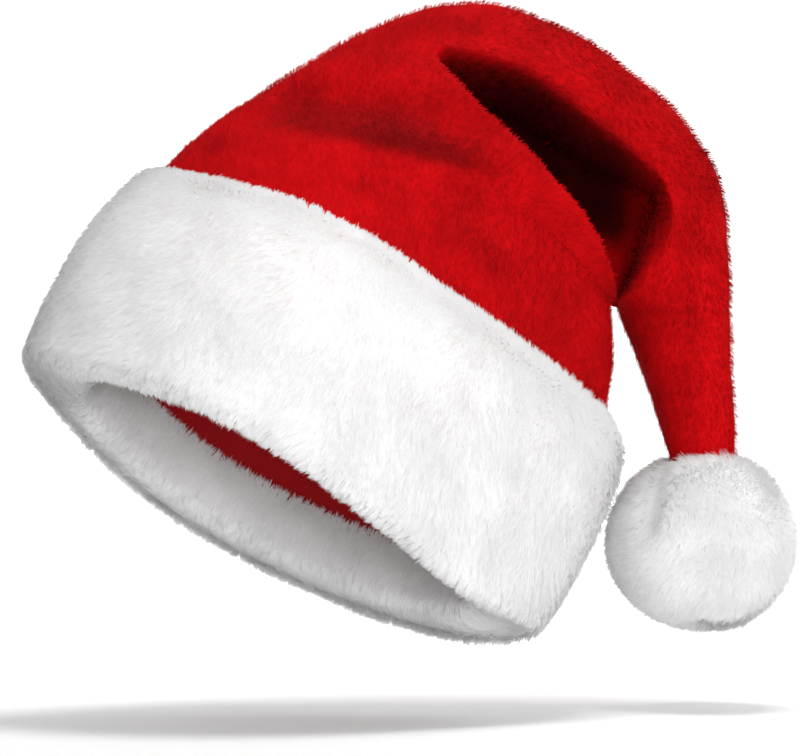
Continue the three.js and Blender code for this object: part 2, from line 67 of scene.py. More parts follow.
# The pile: strand length, lift from the cloth, strand width, and how many strands. A strand's
# height over the cloth is its length times the sine of its lift.
PLUSH_PILE, PLUSH_LIFT, PLUSH_STRAND, PLUSH_COUNT = 3.2, math.radians(25), 0.45, 96000
FUR_PILE, FUR_LIFT, FUR_STRAND, FUR_SIDE_COUNT, FUR_RIM_COUNT = 8, math.radians(25), 0.5, 82000, 72000
POMPOM_PILE, POMPOM_LIFT, POMPOM_STRAND, POMPOM_COUNT = 7, math.radians(38), 0.45, 88000

# How much of a strand's shading comes from the cloth under it and not from its own side: light
# spreads from strand to strand, so a pile is shaded softly.
PILE_SOFTNESS = 0.85

# How finely the pieces are made: points round each, and its rows or the step between them.
CROWN_SIDES, BODY_STEP, FOLD_ROWS, TAIL_ROWS = 130, 3.2, 110, 26
LINING_SIDES, RIB_STEP, RIB_HEIGHT = 100, 0.8, 0.3
CUFF_SIDES, OUTER_ROWS, TURN_ROWS, HEM_ROWS, EDGE_ROWS = 220, 40, 11, 11, 7
POMPOM_SIDES, POMPOM_ROWS = 110, 60


def table(columns, rows):
    """A table with named columns, each an array."""
    return dict(zip(columns.split(), np.array(rows, float).T))


# The crown's body: shares of its rise, of half the width (left, right) and half the depth.
BODY = table("up left right front rear", [
    (0.0, 1.0, 1.0, 1.0, 1.0),
    (0.3, 1.0, 0.985, 0.97, 1.0),
    (0.5, 0.975, 0.947, 0.91, 0.99),
    (0.62, 0.96, 0.892, 0.87, 0.97),
    (0.76, 0.92, 0.84, 0.84, 0.93),
    (0.88, 0.87, 0.778, 0.8, 0.88),
    (1.0, 0.815, 0.695, 0.76, 0.82),
])

# The fold: shares of the turn about the crook, of the reach, of the set-back and half the depth.
FOLD = table("turn reach back front rear roll pocket", [
    (0.0, 1.0, 0.0, 0.76, 0.82, 0.12, 0),
    (0.06, 0.943, 0.28, 0.74, 0.79, 0.12, 0),
    (0.105, 0.907, 0.49, 0.71, 0.76, 0.13, 0),
    (0.145, 0.88, 0.66, 0.67, 0.73, 0.15, 0.02),
    (0.156, 0.873, 0.7, 0.665, 0.725, 0.15, 0.25),
    (0.167, 0.866, 0.74, 0.655, 0.72, 0.15, 0.75),
    (0.18, 0.858, 0.78, 0.64, 0.71, 0.17, 1),
    (0.255, 0.789, 0.95, 0.53, 0.68, 0.26, 1),
    (0.35, 0.671, 1.0, 0.44, 0.62, 0.36, 1),
    (0.445, 0.56, 0.94, 0.43, 0.55, 0.36, 1),
    (0.54, 0.488, 0.82, 0.42, 0.49, 0.34, 0.74),
    (0.625, 0.436, 0.7, 0.39, 0.44, 0.4, 0.18),
    (0.71, 0.376, 0.58, 0.36, 0.4, 0.52, 0.02),
    (0.806, 0.321, 0.48, 0.34, 0.36, 0.7, 0),
    (0.92, 0.292, 0.4, 0.31, 0.315, 0.8, 0),
    (1.0, 0.286, 0.375, 0.3, 0.3, 0.8, 0),
])

# The tail: shares of its drop, of its width from the crook, and of its depth.
TAIL = table("drop inner outer thick", [
    (0.0, 0.05, 0.99, 1.0),
    (0.12, 0.105, 1.0, 0.98),
    (0.34, 0.23, 1.02, 0.93),
    (0.6, 0.35, 1.035, 0.84),
    (0.84, 0.452, 1.03, 0.72),
    (0.93, 0.497, 1.025, 0.67),
    (1.0, 0.512, 1.02, 0.64),
])

# Soft dents and swells: shares of the fold's reach from the crook, and of half the depth.
FRONT_DENTS = [
    # from across and up, to across and up, wide, deep
    (-0.78, 0.47, -0.43, 0.355, 0.09, 0.13),
    (-0.88, 0.35, -0.5, 0.27, 0.08, -0.03),
    (-0.4, 0.14, -0.2, 0.0, 0.09, 0.05),
]
REAR_DENTS = [
    (-0.85, 0.35, -0.25, 0.25, 0.1, 0.1),
    (-0.5, 0.7, 0.05, 0.35, 0.09, 0.08),
]

# The crease under the ridge, as the dents above, which gets painted shade, and how far that
# shade fades, in millimetres.
CREASE = (-0.74, 0.43, -0.41, 0.345)
CREASE_FADE_UP, CREASE_FADE_DOWN = 22, 6

# Waves of the cuff's upper edge: waves round the rim, how high, and where one starts.
EDGE_WAVES = [(1, 2, 0.75), (2, 3, 0.25), (5, 0.8, 0.3)]


# Small tools for shapes

def unit(v):
    return v / np.maximum(np.linalg.norm(v, axis=-1, keepdims=True), 1e-9)


def smooth(value, low, high):
    t = np.clip((np.asarray(value, float) - low) / (high - low), 0, 1)
    return t * t * (3 - 2 * t)


def read(rows, key, value):
    """Every column at a value of one column, on a smooth curve through the rows."""
    keys = rows[key]
    value = np.asarray(value, float)
    i = np.clip(np.searchsorted(keys, value) - 1, 0, len(keys) - 2)
    before, after = np.maximum(i - 1, 0), np.minimum(i + 2, len(keys) - 1)
    span = keys[i + 1] - keys[i]
    t = np.clip((value - keys[i]) / span, 0, 1)
    rise, leave, arrive = t * t * (3 - 2 * t), t * (1 - t) ** 2, t * t * (t - 1)
    found = {}
    for name, column in rows.items():
        slope_from = (column[i + 1] - column[before]) / (keys[i + 1] - keys[before])
        slope_to = (column[after] - column[i]) / (keys[after] - keys[i])
        found[name] = (column[i] * (1 - rise) + column[i + 1] * rise
                       + span * (slope_from * leave + slope_to * arrive))
    return found


def waves(points, size, seed):
    """Soft noise from -1 to 1 over space, with features about size millimetres across."""
    rng = np.random.default_rng(seed)
    total = np.zeros(points.shape[:-1])
    for _ in range(9):
        direction = unit(rng.normal(size=3)) * 2 * math.pi / (size * rng.uniform(1.4, 3.2))
        total += np.sin(points @ direction + rng.uniform(0, 2 * math.pi))
    return np.clip(total / 4.5, -1, 1)


def lean():
    """The hat's own right, back and up, as rows."""
    cs, ss, cb, sb = math.cos(LEAN_SIDE), math.sin(LEAN_SIDE), math.cos(LEAN_BACK), math.sin(LEAN_BACK)
    return np.array([[cs, 0, -ss], [-ss * sb, cb, -cs * sb], [ss * cb, sb, cs * cb]])


HAT = lean()
PLUMB_BACK = np.array([0.0, 1.0, 0.0])


# The crown's form

def fullness(across, pinch):
    """How full a section is at a share of the way across: an ellipse, or where pinched a lens."""
    ellipse = 2 * np.sqrt(np.clip(across * (1 - across), 0, None))
    turned = np.where(across < MOUTH_DEEPEST, across / (2 * MOUTH_DEEPEST),
                      0.5 + (across - MOUTH_DEEPEST) / (2 * (1 - MOUTH_DEEPEST)))
    pinched = pinch * (1 - END_ROUND * ((1 - across) ** END_POWER + across ** END_POWER))
    return ellipse * (1 - pinched) + np.sin(np.pi * turned) * pinched


def body_sizes(height):
    row = read(BODY, "up", (height - CROWN_FOOT) / CROWN_RISE)
    return (row["left"] * HALF_WIDTH, row["right"] * HALF_WIDTH,
            row["front"] * HALF_DEPTH, row["rear"] * HALF_DEPTH)


CROOK_LEFT, CROOK_RIGHT, _, _ = body_sizes(CROWN_FOOT + CROWN_RISE)
REACH = CROOK_LEFT + CROOK_RIGHT + CROOK_RADIUS
CROOK = np.array([CROOK_RIGHT + CROOK_RADIUS, 0, CROWN_FOOT + CROWN_RISE]) @ HAT


def body_section(height, across):
    left, right, front, rear = body_sizes(height)
    place = np.stack([right * across - left * (1 - across), 0 * across, height + 0 * across], -1) @ HAT
    return dict(place=place, back=HAT[1], front=front, rear=rear, pinch=MOUTH_PINCH,
                roll=1.0, curl=0.0, pocket=0.0)


def fold_section(turn, across):
    rising = smooth(turn, 0, POCKET_TURN) * (1 - smooth(turn, POCKET_TURN, 1))
    bowed = turn + (LIP_BOW * across ** 4 - LIP_SAG * across * (1 - across)) * rising
    place, shape = read(FOLD, "turn", bowed), read(FOLD, "turn", turn)
    angle = WHOLE_TURN * (1 - bowed)
    outward = np.stack([np.cos(angle), 0 * angle, np.sin(angle)], -1)
    back = HAT[1] + (PLUMB_BACK - HAT[1]) * bowed[:, None]
    back = unit(back - outward * np.sum(back * outward, -1, keepdims=True))
    outer = (CROOK + outward * (place["reach"] * REACH)[:, None]
             + PLUMB_BACK * (place["back"] * FOLD_SET_BACK)[:, None])
    inner = CROOK + outward * CROOK_RADIUS + PLUMB_BACK * (TAIL_SET_BACK * bowed * bowed)[:, None]
    return dict(place=outer + (inner - outer) * across[:, None], back=back,
                front=shape["front"] * HALF_DEPTH, rear=shape["rear"] * HALF_DEPTH,
                pinch=MOUTH_PINCH * (1 - turn), roll=shape["roll"],
                curl=smooth(turn, POCKET_TURN, CURL_TURN), pocket=np.clip(shape["pocket"], 0, 1))


def tail_section(drop, across):
    row = read(TAIL, "drop", drop)
    aside = (row["outer"] + (row["inner"] - row["outer"]) * across) * TAIL_WIDTH
    place = CROOK + np.stack([aside, TAIL_SET_BACK + 0 * aside, -drop * TAIL_DROP + 0 * aside], -1)
    half = row["thick"] * TAIL_DEPTH / 2
    return dict(place=place, back=PLUMB_BACK, front=half, rear=half, pinch=0.0,
                roll=1.0, curl=0.0, pocket=0.0)


def dent_depth(dents, place):
    sunk = np.zeros(len(place))
    for from_across, from_up, to_across, to_up, wide, deep in dents:
        start, end = np.array([from_across, from_up]) * REACH, np.array([to_across, to_up]) * REACH
        flat = (place - CROOK)[:, [0, 2]] - start
        run = end - start
        along = np.clip(flat @ run / (run @ run), 0, 1)
        share = np.linalg.norm(flat - along[:, None] * run, axis=1) / (wide * REACH)
        sunk += deep * HALF_DEPTH * np.exp(-share * share)
    return sunk


def crease_shade(place):
    """How much painted shade the pile gets from the crease beside the ridge: it fades slowly above
    the crease and fast below it."""
    from_across, from_up, to_across, to_up = CREASE
    start = np.array([from_across, from_up]) * REACH
    run = np.array([to_across, to_up]) * REACH - start
    flat = (place - CROOK)[..., [0, 2]] - start
    along = flat @ run / (run @ run)
    above = (flat[..., 1] * run[0] - flat[..., 0] * run[1]) / np.linalg.norm(run)
    past = np.maximum(0, np.abs(along - 0.5) - 0.5) * np.linalg.norm(run)
    wide = np.where(above > 0, CREASE_FADE_UP, CREASE_FADE_DOWN) * (0.55 + 0.45 * np.clip(1 - along, 0, 1.5))
    return np.exp(-(above / wide) ** 2 - (past / CREASE_FADE_UP) ** 2)


def front_bulge(section, across, full):
    along = across / section["roll"]
    in_pocket = smooth(along, 1, 1 + ROLL_EDGE)
    arc = np.sqrt(1 - (1 - np.minimum(along, 1)) ** 2)
    rolled = section["front"] * (full + (arc - full) * section["curl"])
    floor = -POCKET_DEPTH * section["rear"] * full
    pocket = section["pocket"]
    return section["front"] * full * (1 - pocket) + (rolled * (1 - in_pocket) + floor * in_pocket) * pocket


def crown_ring(section_at, level, angle):
    """One ring of the crown's outer face, and how much painted shade each point gets deep in the pocket."""
    across = (1 - np.cos(angle)) / 2
    section = section_at(level, across)
    full = fullness(across, section["pinch"])
    front = front_bulge(section, across, full)
    front -= dent_depth(FRONT_DENTS, section["place"]) * full * (1 - section["pocket"])
    rear = (section["rear"] - dent_depth(REAR_DENTS, section["place"])) * full
    is_front = angle < math.pi
    bulge = np.where(is_front, -front, rear)
    # Painted shade in the pocket: full where the pocket is deepest, less at its tip, none towards the tail,
    # and only from near the roll's edge inwards.
    dark = section["pocket"] ** 2
    if section_at is fold_section:
        dark = dark * (0.45 + 0.55 * smooth(level, 0.18, 0.28)) * (1 - smooth(level, 0.4, 0.6))
    deep = np.where(is_front, dark * smooth(across / section["roll"], 0.8, 1.35), 0)
    return section["place"] + section["back"] * bulge[:, None], deep


def crown_levels():
    """Where the crown has rings: close together where the pocket opens."""
    body = np.arange(CROWN_FOOT, CROWN_FOOT + CROWN_RISE, BODY_STEP)
    fold = np.interp(np.linspace(0, 1, FOLD_ROWS), [0, 0.2, 0.55, 1], [0, 0.13, 0.3, 1])
    tail = np.linspace(0, 1, TAIL_ROWS)[1:]
    return ([(body_section, h) for h in body] + [(fold_section, t) for t in fold]
            + [(tail_section, d) for d in tail])


class Skin:
    """A grid of points on a surface, with its normals and the way along the rows."""

    def __init__(self, points, turned=1):
        self.points = points
        around = np.roll(points, -1, 1) - np.roll(points, 1, 1)
        along = np.gradient(points, axis=0)
        self.normals = unit(np.cross(around, along)) * turned
        self.along = unit(along)
        self.around = unit(around)

    def moved(self, distance):
        """The surface's points, moved out by one distance or by one for each point."""
        return self.points + self.normals * np.broadcast_to(distance, self.points.shape[:2])[..., None]

    def scatter(self, count, rng, weight):
        """Places spread evenly over the surface, thinned by a weight for each point. What comes
        back reads any grid of values at those places."""
        p = self.points
        edge_a, edge_b = np.roll(p, -1, 1)[:-1] - p[:-1], p[1:] - p[:-1]
        area = np.linalg.norm(np.cross(edge_a, edge_b), axis=-1) * weight[:-1]
        cell = rng.choice(area.size, count, p=area.ravel() / area.sum())
        row, column = np.divmod(cell, p.shape[1])
        u, v = rng.random(count), rng.random(count)
        following = (column + 1) % p.shape[1]

        def between(grid):
            shape = (count,) + (1,) * (grid.ndim - 2)
            a, b = u.reshape(shape), v.reshape(shape)
            return ((grid[row, column] * (1 - b) + grid[row, following] * b) * (1 - a)
                    + (grid[row + 1, column] * (1 - b) + grid[row + 1, following] * b) * a)

        return between


# The cuff's form

def body_outline(height, angle):
    left, right, front, rear = body_sizes(height)
    across = (1 - np.cos(angle)) / 2
    deep = np.where(np.sin(angle) > 0, -front, rear)
    return np.stack([-left + (left + right) * across, deep * fullness(across, MOUTH_PINCH)], -1)


def cuff_profile(sunk):
    """Steps out from the crown and up from the rim, from the upper edge round to the hem, and
    how far within the mouth each is, from 0 to 1."""
    turn_radius, turn_middle = (CUFF_WALL + HEM_WALL) / 2, (CUFF_WALL - HEM_WALL) / 2
    outer = []
    for share in np.linspace(1, 0, OUTER_ROWS):
        edge = CUFF_EDGE * (1 - smooth(share, 1, 0.94))
        out = CUFF_WALL + CUFF_SWELL * math.sin(math.pi * share) - sunk - edge
        outer.append((out, turn_radius + (CUFF_HEIGHT - 2 - turn_radius) * share, 0))
    turned = [
        (turn_middle + (turn_radius - sunk) * math.cos(a), turn_radius - (turn_radius - sunk) * math.sin(a),
         (1 - math.cos(a)) / 2)
        for a in np.linspace(0, math.pi, TURN_ROWS + 2)[1:-1]
    ]
    hem = [(sunk - HEM_WALL, turn_radius + (HEM_HEIGHT - 1 - turn_radius) * share, 1)
           for share in np.linspace(0, 1, HEM_ROWS)]
    return np.array(outer + turned + hem)


def cuff_points(profile, angle):
    rings = []
    for out, up, within in profile:
        height = max(up, CROWN_FOOT)
        aside = math.pi / 36
        place = body_outline(height, angle)
        along = body_outline(height, angle + aside) - body_outline(height, angle - aside)
        outward = unit(np.stack([along[:, 1], -along[:, 0]], -1))
        across = (1 - np.cos(angle)) / 2
        low = max(0, 1 - up / HEM_HEIGHT)
        tuck = RIM_TUCK * low * (1 - across) ** END_POWER
        place = place + outward * (out - tuck)[:, None]
        place[:, 0] += END_FILL * within * ((1 - across) ** END_POWER - across ** END_POWER)
        edge = sum(high * np.sin(n * angle + 2 * math.pi * start) for n, high, start in EDGE_WAVES)
        level = up + RIM_RISE * low * across ** END_POWER + edge * (max(0, up) / CUFF_HEIGHT) ** 3
        rings.append(np.column_stack([place, level]) @ HAT)
    return np.array(rings)


# Colours and materials

def colour(code):
    """A screen colour such as #C80C12 as the linear colour that a shader takes."""
    parts = [int(code[i:i + 2], 16) / 255 for i in (1, 3, 5)]
    return [c / 12.92 if c <= 0.04045 else ((c + 0.055) / 1.055) ** 2.4 for c in parts] + [1]


def add(tree, kind, inputs=None, **settings):
    """Adds a node with its settings, and sets or links its inputs."""
    node = tree.nodes.new(kind)
    for name, value in settings.items():
        setattr(node, name, value)
    for name, value in (inputs or {}).items():
        if isinstance(value, bpy.types.NodeSocket):
            tree.links.new(value, node.inputs[name])
        else:
            node.inputs[name].default_value = value
    return node


def new_material(name, **shader):
    material = bpy.data.materials.new(name)
    material.use_nodes = True
    tree = material.node_tree
    tree.nodes.clear()
    surface = add(tree, "ShaderNodeBsdfPrincipled", {k.replace("_", " "): v for k, v in shader.items()})
    add(tree, "ShaderNodeOutputMaterial", {"Surface": surface.outputs[0]})
    return material, tree, surface


def mottled_colour(tree, patch, detail, share, stops):
    """The colour of cloth or paint: the shade that its mesh carries, which holds painted light and
    shade as well as the cloth's own tone, 0 where it carries none, plus a share of patches that
    many millimetres across, run through stops of (shade, colour)."""
    place = add(tree, "ShaderNodeTexCoord").outputs["Object"]
    patches = add(tree, "ShaderNodeTexNoise", {"Vector": place, "Scale": 1 / (patch * MM), "Detail": detail})
    pile = add(tree, "ShaderNodeAttribute", attribute_name="pile")
    mixed = add(tree, "ShaderNodeMath", {0: patches.outputs["Fac"], 1: share, 2: pile.outputs["Fac"]},
                operation="MULTIPLY_ADD")
    ramp = add(tree, "ShaderNodeValToRGB", {"Fac": mixed.outputs[0]})
    elements = ramp.color_ramp.elements
    while len(elements) < len(stops):
        elements.new(0.5)
    for element, (shade, code) in zip(elements, stops):
        element.position, element.color = shade, colour(code)
    return ramp.outputs["Color"]


def brushed_plush():
    """Polyester plush with a short brushed pile: dull, deep red, with a soft pink sheen at its
    edges. The shade its mesh carries adds painted shade and painted light, and a painted sheen
    down the tail's outer edge."""
    material, tree, surface = new_material(
        "brushed_red_plush", Roughness=0.9, IOR=1.46, Specular_IOR_Level=0.04, Sheen_Weight=0.2,
        Sheen_Roughness=0.32, Sheen_Tint=colour("#FF3840"))
    # The lowest stops, down to near black, give the painted shade of the crease and the pocket; the highest
    # give the painted light and the painted sheen.
    red = mottled_colour(tree, 14, 4, 0.22, [
        (0.08, "#070000"), (0.4, "#480204"), (0.75, "#8E0407"), (1.0, "#B3070C")])
    tree.links.new(red, surface.inputs["Base Color"])
    # The pile's own unevenness: tufts of yarn are about 1.6 mm apart and stand 0.6 mm proud.
    place = add(tree, "ShaderNodeTexCoord").outputs["Object"]
    tufts = add(tree, "ShaderNodeTexNoise", {"Vector": place, "Scale": 1 / (1.6 * MM), "Detail": 2})
    bump = add(tree, "ShaderNodeBump", {
        "Height": tufts.outputs["Fac"], "Strength": 0.25, "Distance": 0.6 * MM})
    tree.links.new(bump.outputs[0], surface.inputs["Normal"])
    return material


def ribbed_lining():
    """Thin polyester knit, unbrushed: a dull dark red with fine ribs."""
    material, tree, surface = new_material(
        "ribbed_red_knit", Roughness=0.75, IOR=1.46, Specular_IOR_Level=0.25, Sheen_Weight=0.15,
        Sheen_Tint=colour("#E05058"))
    red = mottled_colour(tree, 9, 3, 0.3, [(0.1, "#7E070C"), (0.8, "#B00E17"), (1.0, "#C0121C")])
    tree.links.new(red, surface.inputs["Base Color"])
    return material


def long_pile_fur():
    """Acrylic long-pile fur, combed and unsheared: matt bright white, a little greyer at the
    roots, where strands shade each other. Its clear fibres let light through, so nearly half of
    what is seen comes from behind them."""
    material, tree, surface = new_material(
        "long_pile_white_fur", Roughness=0.75, IOR=1.5, Specular_IOR_Level=0.2, Sheen_Weight=0.1)
    white = mottled_colour(tree, 12, 3, 0.12, [
        (0.0, "#ACACAD"), (0.55, "#CBCBCB"), (0.8, "#D8D8D8"), (1.0, "#EEEEEE")])
    tree.links.new(white, surface.inputs["Base Color"])
    through = add(tree, "ShaderNodeBsdfTranslucent", {"Color": white})
    both = add(tree, "ShaderNodeMixShader", {0: 0.42, 1: surface.outputs[0], 2: through.outputs[0]})
    tree.links.new(both.outputs[0], tree.nodes["Material Output"].inputs["Surface"])
    return material


def matt_floor():
    """Matt white board, painted by roller: no gloss, and a very faint unevenness."""
    material, tree, surface = new_material("matt_white_board", Roughness=0.95, Specular_IOR_Level=0.1)
    white = mottled_colour(tree, 60, 2, 1, [(0.0, "#EEEEEE"), (1.0, "#F1F1F1")])
    tree.links.new(white, surface.inputs["Base Color"])
    return material


# Meshes

def make_piece(name, points, faces, material, pile, normals=None):
    """A smooth mesh on the hat, with the shade of its pile at each point: the cloth's own tone, and
    on some pieces painted light and painted shade too.
    """
    mesh = bpy.data.meshes.new(name)
    mesh.from_pydata(np.asarray(points, float) * MM, [], faces)
    mesh.polygons.foreach_set("use_smooth", np.ones(len(mesh.polygons), bool))
    # The pile shade carries painted light and painted shade as well as the cloth's own tone.
    layer = mesh.attributes.new("pile", "FLOAT", "POINT")
    layer.data.foreach_set("value", np.asarray(pile, np.float32).ravel())
    mesh.materials.append(material)
    mesh.update()
    if normals is not None:
        mesh.normals_split_custom_set_from_vertices(normals)
    piece = bpy.data.objects.new(name, mesh)
    bpy.context.scene.collection.objects.link(piece)
    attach(piece, "root")
    return piece


def sleeve_faces(rows, sides):
    """Four-cornered faces between rows of points, the last row joined to the first."""
    row, side = np.meshgrid(np.arange(rows), np.arange(sides), indexing="ij")
    low, high = row * sides, (row + 1) % rows * sides
    following = (side + 1) % sides
    return np.stack([low + side, low + following, high + following, high + side], -1).reshape(-1, 4)


def sleeve(name, rings, material, pile):
    rows, sides = rings.shape[:2]
    return make_piece(name, rings.reshape(-1, 3), sleeve_faces(rows, sides), material, pile)


def strands(name, roots, middles, tips, normals, width, pile, material, rng):
    """Bent, tapered strands, each of two triangles that face away from the cloth. Their sides
    turn a little at random, and their roots are shaded a little by their neighbours."""
    run = unit(tips - roots)
    side = unit(np.cross(run, normals))
    tilt = rng.normal(0, 0.3, (len(roots), 1))
    side = side * np.cos(tilt) + unit(np.cross(side, run)) * np.sin(tilt)
    half = side * (width / 2)
    points = np.stack([roots, middles + half, middles - half, tips], 1)
    faces = np.array([[0, 1, 2], [1, 3, 2]]) + 4 * np.arange(len(roots))[:, None, None]
    leaf = unit(np.cross(side, run))
    leaf *= np.sign(np.sum(leaf * normals, -1, keepdims=True) + 1e-6)
    shown = unit(normals * PILE_SOFTNESS + leaf * (1 - PILE_SOFTNESS) + rng.normal(0, 0.04, leaf.shape))
    shade = np.stack([pile * 0.9, pile * 0.97, pile * 0.97, pile], 1)
    return make_piece(name, points.reshape(-1, 3), faces.reshape(-1, 3), material, shade,
                      np.repeat(shown, 4, 0))


def gather(roots, tips, size, pull, seed):
    """The tips, with those of each tuft drawn together, tufts being about size millimetres wide."""
    bent = np.stack([waves(roots, size * 2, seed + i) for i in range(3)], -1) * size * 0.7
    cell = np.floor((roots + bent) / size).astype(int)
    _, tuft = np.unique(cell, axis=0, return_inverse=True)
    tuft = tuft.ravel()
    count = np.bincount(tuft)[:, None]
    middle = np.stack([np.bincount(tuft, tips[:, i]) for i in range(3)], -1) / count
    return tips + (middle[tuft] - tips) * pull


# The pieces

def plush_tone_and_painted_light(rings, deep, angle):
    """The plush's colour shade at each point: mottled at random, with painted shade in the crease
    and deep in the pocket, painted light beside the crook and on the upper left, and a painted
    sheen down the tail's outer edge."""
    from_crook = rings - CROOK
    painted_light_beside_crook = deep * (1 - smooth(np.linalg.norm(from_crook, axis=-1), 30, 58))
    painted_crease_shade = crease_shade(rings) * (angle < math.pi)
    leftward = -from_crook[..., 0] / REACH
    painted_upper_left_light = smooth(leftward, 0.5, 0.74) * (1 - 0.6 * smooth(leftward, 0.78, 0.98))
    painted_tail_edge_sheen = smooth(from_crook[..., 0], 36, 58) * (1 - smooth(from_crook[..., 2], 10, 60))
    # The random mottling is the cloth's own tone; the rest is painted light and painted shade.
    shade = 0.77 + 0.08 * waves(rings, 18, 5) + 0.2 * painted_upper_left_light + 0.42 * painted_tail_edge_sheen
    shade = shade * (1 - 0.42 * painted_crease_shade) * (1 - 0.92 * (deep - painted_light_beside_crook))
    return shade + 0.3 * painted_light_beside_crook


def make_crown(plush):
    angle = np.linspace(0, 2 * math.pi, CROWN_SIDES, endpoint=False)
    levels = crown_levels()
    rings, deep = zip(*[crown_ring(section, level, angle) for section, level in levels])
    rings, deep = np.array(rings), np.array(deep)
    form = Skin(rings)
    # Soft unevenness of the cloth, none where it is pressed together at the crook.
    uneven = 1.1 * waves(rings, 26, 3) + 0.4 * waves(rings, 10, 4)
    away = np.clip(np.linalg.norm(rings - CROOK, axis=-1) / 40, 0, 1)
    outer = Skin(form.moved(uneven * away + 0.2))
    inner = form.moved(-CROWN_WALL)[::-3]
    shade = plush_tone_and_painted_light(rings, deep, angle)
    pile = np.concatenate([shade, np.full(inner.shape[:2], 0.45)])
    shell = sleeve("crown_plush", np.concatenate([outer.points, inner]), plush, pile)
    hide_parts("crown")

    # Strands only where the cuff leaves the crown bare.
    rng = np.random.default_rng(11)
    count = PLUSH_COUNT
    bare = np.clip((outer.points @ HAT[2] - CUFF_HEIGHT + 12) / 8, 0, 1)
    bare = np.maximum(bare, (rings[..., 0] > CROOK[0]).astype(float))
    at = outer.scatter(count, rng, bare)
    root, normal, along, around = at(outer.points), at(outer.normals), at(outer.along), at(outer.around)
    length = PLUSH_PILE * rng.uniform(0.7, 1.25, (count, 1))
    # The pile is brushed along the sleeve, less surely where the fold begins, and it is ruffled
    # along the outer edge of the arch and the tail.
    rows = np.arange(len(rings))[:, None] + 0 * angle
    body_rows = sum(section is body_section for section, _ in levels)
    turning = np.exp(-((at(rows.astype(float)) - body_rows) / 5) ** 2)[:, None]
    astray = 0.35 * waves(root, 20, 8)[:, None] + rng.normal(0, 0.35, (count, 1)) * (1 + 2.5 * turning)
    brushed = unit(along * (1 - 0.4 * turning) + around * astray)
    arched = (rows > body_rows).astype(float)
    ruffled = at(arched * smooth(np.cos(angle), 0.55, 0.95))[:, None]
    lift = PLUSH_LIFT + rng.normal(0, 0.2, (count, 1)) + 0.4 * ruffled
    tip = root + length * (1 + 0.15 * ruffled) * (brushed * np.cos(lift) + normal * np.sin(lift))
    root = root - 0.5 * normal
    tip = gather(root, tip, 2.6, 0.3, 21)
    middle = root + (tip - root) * 0.35 + normal * 0.25
    shade = at(shade) * rng.uniform(0.92, 1.1, count)
    hair = strands("crown_pile", root, middle, tip, unit(normal), PLUSH_STRAND, shade, plush, rng)
    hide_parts("crown")


def make_lining(knit):
    """The knit's ribs run round it: every other row stands out. They are drawn about twice as
    coarse as the real ones, which are too fine to show."""
    angle = np.linspace(0, 2 * math.pi, LINING_SIDES, endpoint=False)
    top = CROWN_FOOT + CROWN_RISE - 10
    heights = np.arange(CROWN_FOOT, top, RIB_STEP)
    rings = np.array([crown_ring(body_section, height, angle)[0] for height in heights])
    form = Skin(rings)
    rib = (np.arange(len(heights)) % 2)[:, None]
    near, far = -(CROWN_WALL + CLEARANCE), -(CROWN_WALL + CLEARANCE + LINING_WALL)
    ribbed = form.moved(far + RIB_HEIGHT * rib)
    outer = form.moved(near)[::-8][::-1]
    shade = (0.35 + 0.4 * rib[::-1]) + 0 * rings[::-1, :, 0]
    pile = np.concatenate([np.full(outer.shape[:2], 0.5), shade])
    cloth = sleeve("lining_knit", np.concatenate([outer, ribbed[::-1]]), knit, pile)
    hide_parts("lining")


